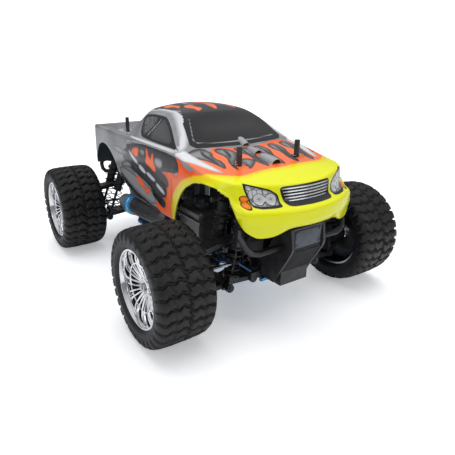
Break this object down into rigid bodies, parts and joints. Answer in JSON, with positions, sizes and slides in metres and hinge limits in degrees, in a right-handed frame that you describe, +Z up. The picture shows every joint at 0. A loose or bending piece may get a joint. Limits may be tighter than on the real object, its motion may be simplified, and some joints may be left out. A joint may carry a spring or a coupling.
{
  "type": "rc monster truck",
  "caption": "Remote-controlled monster truck: lift-off pickup shell, glow engine, big lugged tyres on chrome rims, paired coil-over dampers, steered front wheels, tube-loop bumpers",
  "frame": {"origin": "centre of the overall box, on the floor the tyres stand on", "axes": "+X the truck's left side, -Y its nose, +Z up"},
  "size_m": [0.3152, 0.4066, 0.2073],
  "materials": {
    "tyre": "black rubber, matt",
    "chrome": "bright plated",
    "black_plastic": "moulded, satin",
    "blue_anodised": "blue anodised",
    "steel": "turned",
    "spring_steel": "black oxide wire",
    "body_paint": "painted shell, yellow to orange to silver grey with flames",
    "grey_metal": "cast and turned, satin",
    "silencer": "grey tube with a blue ring",
    "tank": "smoked plastic"
  },
  "bodies": {
    "root": {"chassis_plate": "blue_anodised", "front_bumper": "black_plastic", "rear_bumper": "black_plastic", "diff_housing_front": "black_plastic", "diff_housing_rear": "black_plastic", "shock_tower_front": "black_plastic", "shock_tower_rear": "black_plastic", "engine": "grey_metal", "exhaust_header": "steel", "silencer": "silencer", "fuel_tank": "tank", "radio_box": "black_plastic"},
    "body_shell": {"body_shell": "body_paint"},
    "tank_cap": {"tank_cap": "black_plastic"},
    "steering_slider": {"steering_slider": "black_plastic"},
    "centre_drive": {"centre_drive": "steel"},
    "lower_arm_rr": {"lower_arm_rr": "black_plastic"},
    "upper_arm_rr": {"upper_arm_rr": "black_plastic"},
    "shock_body_rr": {"shock_body_rr": "black_plastic", "spring_rr_front": "spring_steel", "spring_rr_rear": "spring_steel"},
    "shock_rod_rr": {"shock_rod_rr": "steel"},
    "driveshaft_rr": {"driveshaft_rr": "steel"},
    "hub_carrier_rr": {"hub_carrier_rr": "black_plastic"},
    "wheel_rr": {"rim_rr": "chrome", "tyre_rr": "tyre"},
    "lower_arm_rl": {"lower_arm_rl": "black_plastic"},
    "upper_arm_rl": {"upper_arm_rl": "black_plastic"},
    "shock_body_rl": {"shock_body_rl": "black_plastic", "spring_rl_front": "spring_steel", "spring_rl_rear": "spring_steel"},
    "shock_rod_rl": {"shock_rod_rl": "steel"},
    "driveshaft_rl": {"driveshaft_rl": "steel"},
    "hub_carrier_rl": {"hub_carrier_rl": "black_plastic"},
    "wheel_rl": {"rim_rl": "chrome", "tyre_rl": "tyre"},
    "lower_arm_fr": {"lower_arm_fr": "black_plastic"},
    "upper_arm_fr": {"upper_arm_fr": "black_plastic"},
    "shock_body_fr": {"shock_body_fr": "black_plastic", "spring_fr_front": "spring_steel", "spring_fr_rear": "spring_steel"},
    "shock_rod_fr": {"shock_rod_fr": "steel"},
    "driveshaft_fr": {"driveshaft_fr": "steel"},
    "c_hub_fr": {"c_hub_fr": "black_plastic"},
    "knuckle_fr": {"knuckle_fr": "black_plastic"},
    "tie_rod_r": {"tie_rod_r": "steel"},
    "wheel_fr": {"rim_fr": "chrome", "tyre_fr": "tyre"},
    "lower_arm_fl": {"lower_arm_fl": "black_plastic"},
    "upper_arm_fl": {"upper_arm_fl": "black_plastic"},
    "shock_body_fl": {"shock_body_fl": "black_plastic", "spring_fl_front": "spring_steel", "spring_fl_rear": "spring_steel"},
    "shock_rod_fl": {"shock_rod_fl": "steel"},
    "driveshaft_fl": {"driveshaft_fl": "steel"},
    "c_hub_fl": {"c_hub_fl": "black_plastic"},
    "knuckle_fl": {"knuckle_fl": "black_plastic"},
    "tie_rod_l": {"tie_rod_l": "steel"},
    "wheel_fl": {"rim_fl": "chrome", "tyre_fl": "tyre"}
  },
  "joints": [
    {"name": "suspension_rr", "type": "hinge", "parent": "root", "child": "lower_arm_rr", "pos_m": [-0.03, 0.13925, 0.043], "axis": [0, 1, 0], "range_deg": [-8, 12], "stiffness_Nm_per_rad": 2.4, "springref_deg": -6.39},
    {"name": "upper_arm_swing_rr", "type": "hinge", "parent": "root", "child": "upper_arm_rr", "pos_m": [-0.03, 0.13925, 0.086], "axis": [0, 1, 0], "range_deg": [-9, 13]},
    {"name": "hub_level_rr", "type": "hinge", "parent": "lower_arm_rr", "child": "hub_carrier_rr", "pos_m": [-0.098, 0.13925, 0.037], "axis": [0, 1, 0], "range_deg": [-13, 9]},
    {"name": "damper_tilt_rr", "type": "hinge", "parent": "root", "child": "shock_body_rr", "pos_m": [-0.052, 0.13925, 0.118], "axis": [0, 1, 0], "range_deg": [-3.01, 4.02]},
    {"name": "damper_stroke_rr", "type": "slide", "parent": "shock_body_rr", "child": "shock_rod_rr", "axis": [0.3527, 0, 0.9357], "range_m": [-0.00767, 0.011], "deforming": ["spring_rr_front", "spring_rr_rear"]},
    {"name": "wheel_spin", "type": "hinge", "parent": "hub_carrier_rr", "child": "wheel_rr", "pos_m": [-0.1276, 0.13925, 0.058], "axis": [1, 0, 0], "continuous": true},
    {"name": "driveshaft_spin_rr", "type": "hinge", "parent": "lower_arm_rr", "child": "driveshaft_rr", "pos_m": [-0.021, 0.13925, 0.055], "axis": [0.9993, 0, -0.0366], "continuous": true},
    {"name": "suspension_rl", "type": "hinge", "parent": "root", "child": "lower_arm_rl", "pos_m": [0.03, 0.13925, 0.043], "axis": [0, -1, 0], "range_deg": [-8, 12], "stiffness_Nm_per_rad": 2.4, "springref_deg": -6.39},
    {"name": "upper_arm_swing_rl", "type": "hinge", "parent": "root", "child": "upper_arm_rl", "pos_m": [0.03, 0.13925, 0.086], "axis": [0, -1, 0], "range_deg": [-9, 13]},
    {"name": "hub_level_rl", "type": "hinge", "parent": "lower_arm_rl", "child": "hub_carrier_rl", "pos_m": [0.098, 0.13925, 0.037], "axis": [0, -1, 0], "range_deg": [-13, 9]},
    {"name": "damper_tilt_rl", "type": "hinge", "parent": "root", "child": "shock_body_rl", "pos_m": [0.052, 0.13925, 0.118], "axis": [0, -1, 0], "range_deg": [-3.01, 4.02]},
    {"name": "damper_stroke_rl", "type": "slide", "parent": "shock_body_rl", "child": "shock_rod_rl", "axis": [-0.3527, 0, 0.9357], "range_m": [-0.00767, 0.011], "deforming": ["spring_rl_front", "spring_rl_rear"]},
    {"name": "wheel_spin_rl", "type": "hinge", "parent": "hub_carrier_rl", "child": "wheel_rl", "pos_m": [0.1276, 0.13925, 0.058], "axis": [1, 0, 0], "continuous": true},
    {"name": "driveshaft_spin_rl", "type": "hinge", "parent": "lower_arm_rl", "child": "driveshaft_rl", "pos_m": [0.021, 0.13925, 0.055], "axis": [0.9993, 0, 0.0366], "continuous": true},
    {"name": "suspension_fr", "type": "hinge", "parent": "root", "child": "lower_arm_fr", "pos_m": [-0.03, -0.13075, 0.043], "axis": [0, 1, 0], "range_deg": [-8, 12], "stiffness_Nm_per_rad": 2.4, "springref_deg": -6.39},
    {"name": "upper_arm_swing_fr", "type": "hinge", "parent": "root", "child": "upper_arm_fr", "pos_m": [-0.03, -0.13075, 0.086], "axis": [0, 1, 0], "range_deg": [-9, 13]},
    {"name": "hub_level_fr", "type": "hinge", "parent": "lower_arm_fr", "child": "c_hub_fr", "pos_m": [-0.098, -0.13075, 0.037], "axis": [0, 1, 0], "range_deg": [-13, 9]},
    {"name": "damper_tilt_fr", "type": "hinge", "parent": "root", "child": "shock_body_fr", "pos_m": [-0.042, -0.13075, 0.124], "axis": [0, 1, 0], "range_deg": [-1.71, 2.07]},
    {"name": "damper_stroke_fr", "type": "slide", "parent": "shock_body_fr", "child": "shock_rod_fr", "axis": [0.2105, 0, 0.9776], "range_m": [-0.00506, 0.00709], "deforming": ["spring_fr_front", "spring_fr_rear"]},
    {"name": "steering", "type": "hinge", "parent": "c_hub_fr", "child": "knuckle_fr", "pos_m": [-0.103, -0.13075, 0.058], "axis": [0, 0, 1], "range_deg": [-22, 22]},
    {"name": "track_rod_r", "type": "slide", "parent": "lower_arm_fr", "child": "tie_rod_r", "axis": [1, 0, 0], "range_m": [-0.0125, 0.0125]},
    {"name": "wheel_spin_fr", "type": "hinge", "parent": "knuckle_fr", "child": "wheel_fr", "pos_m": [-0.1276, -0.13075, 0.058], "axis": [1, 0, 0], "continuous": true},
    {"name": "driveshaft_spin_fr", "type": "hinge", "parent": "lower_arm_fr", "child": "driveshaft_fr", "pos_m": [-0.021, -0.13075, 0.055], "axis": [0.9993, 0, -0.0366], "continuous": true},
    {"name": "suspension_fl", "type": "hinge", "parent": "root", "child": "lower_arm_fl", "pos_m": [0.03, -0.13075, 0.043], "axis": [0, -1, 0], "range_deg": [-8, 12], "stiffness_Nm_per_rad": 2.4, "springref_deg": -6.39},
    {"name": "upper_arm_swing_fl", "type": "hinge", "parent": "root", "child": "upper_arm_fl", "pos_m": [0.03, -0.13075, 0.086], "axis": [0, -1, 0], "range_deg": [-9, 13]},
    {"name": "hub_level_fl", "type": "hinge", "parent": "lower_arm_fl", "child": "c_hub_fl", "pos_m": [0.098, -0.13075, 0.037], "axis": [0, -1, 0], "range_deg": [-13, 9]},
    {"name": "damper_tilt_fl", "type": "hinge", "parent": "root", "child": "shock_body_fl", "pos_m": [0.042, -0.13075, 0.124], "axis": [0, -1, 0], "range_deg": [-1.71, 2.07]},
    {"name": "damper_stroke_fl", "type": "slide", "parent": "shock_body_fl", "child": "shock_rod_fl", "axis": [-0.2105, 0, 0.9776], "range_m": [-0.00506, 0.00709], "deforming": ["spring_fl_front", "spring_fl_rear"]},
    {"name": "steering_fl", "type": "hinge", "parent": "c_hub_fl", "child": "knuckle_fl", "pos_m": [0.103, -0.13075, 0.058], "axis": [0, 0, 1], "range_deg": [-23, 23]},
    {"name": "track_rod_l", "type": "slide", "parent": "lower_arm_fl", "child": "tie_rod_l", "axis": [1, 0, 0], "range_m": [-0.0125, 0.0125]},
    {"name": "wheel_spin_fl", "type": "hinge", "parent": "knuckle_fl", "child": "wheel_fl", "pos_m": [0.1276, -0.13075, 0.058], "axis": [1, 0, 0], "continuous": true},
    {"name": "driveshaft_spin_fl", "type": "hinge", "parent": "lower_arm_fl", "child": "driveshaft_fl", "pos_m": [0.021, -0.13075, 0.055], "axis": [0.9993, 0, 0.0366], "continuous": true},
    {"name": "steering_slider_travel", "type": "slide", "parent": "root", "child": "steering_slider", "axis": [1, 0, 0], "range_m": [-0.0125, 0.0125]},
    {"name": "centre_drive_spin", "type": "hinge", "parent": "root", "child": "centre_drive", "pos_m": [0, 0.00425, 0.055], "axis": [0, 1, 0], "continuous": true},
    {"name": "body_lift", "type": "slide", "parent": "root", "child": "body_shell", "axis": [0, 0, 1], "range_m": [0, 0.15]},
    {"name": "tank_cap_flip", "type": "hinge", "parent": "root", "child": "tank_cap", "pos_m": [-0.042, -0.05875, 0.1102], "axis": [-1, 0, 0], "range_deg": [0, 100], "stiffness_Nm_per_rad": 0.002, "springref_deg": -34.38}
  ],
  "couplings": [
    {"joint": "upper_arm_swing_rr", "follows": "suspension_rr", "ratio": 1},
    {"joint": "hub_level_rr", "follows": "suspension_rr", "ratio": -1},
    {"joint": "damper_tilt_rr", "follows": "suspension_rr", "ratio": 0.25129},
    {"joint": "damper_stroke_rr", "follows": "suspension_rr", "m_per_rad": 0.047766},
    {"joint": "driveshaft_spin_rr", "follows": "wheel_spin", "ratio": 1},
    {"joint": "upper_arm_swing_rl", "follows": "suspension_rl", "ratio": 1},
    {"joint": "hub_level_rl", "follows": "suspension_rl", "ratio": -1},
    {"joint": "damper_tilt_rl", "follows": "suspension_rl", "ratio": 0.25129},
    {"joint": "damper_stroke_rl", "follows": "suspension_rl", "m_per_rad": 0.047766},
    {"joint": "wheel_spin_rl", "follows": "wheel_spin", "ratio": 1},
    {"joint": "driveshaft_spin_rl", "follows": "wheel_spin", "ratio": 1},
    {"joint": "upper_arm_swing_fr", "follows": "suspension_fr", "ratio": 1},
    {"joint": "hub_level_fr", "follows": "suspension_fr", "ratio": -1},
    {"joint": "damper_tilt_fr", "follows": "suspension_fr", "ratio": 0.089125},
    {"joint": "damper_stroke_fr", "follows": "suspension_fr", "m_per_rad": 0.029082},
    {"joint": "track_rod_r", "follows": "steering", "m_per_rad": -0.02927},
    {"joint": "wheel_spin_fr", "follows": "wheel_spin", "ratio": 1},
    {"joint": "driveshaft_spin_fr", "follows": "wheel_spin", "ratio": 1},
    {"joint": "upper_arm_swing_fl", "follows": "suspension_fl", "ratio": 1},
    {"joint": "hub_level_fl", "follows": "suspension_fl", "ratio": -1},
    {"joint": "damper_tilt_fl", "follows": "suspension_fl", "ratio": 0.089125},
    {"joint": "damper_stroke_fl", "follows": "suspension_fl", "m_per_rad": 0.029082},
    {"joint": "steering_fl", "follows": "steering", "ratio": 1},
    {"joint": "track_rod_l", "follows": "steering", "m_per_rad": -0.02927},
    {"joint": "wheel_spin_fl", "follows": "wheel_spin", "ratio": 1},
    {"joint": "driveshaft_spin_fl", "follows": "wheel_spin", "ratio": 1},
    {"joint": "steering_slider_travel", "follows": "steering", "m_per_rad": -0.02927},
    {"joint": "centre_drive_spin", "follows": "wheel_spin", "ratio": 2.7}
  ]
}
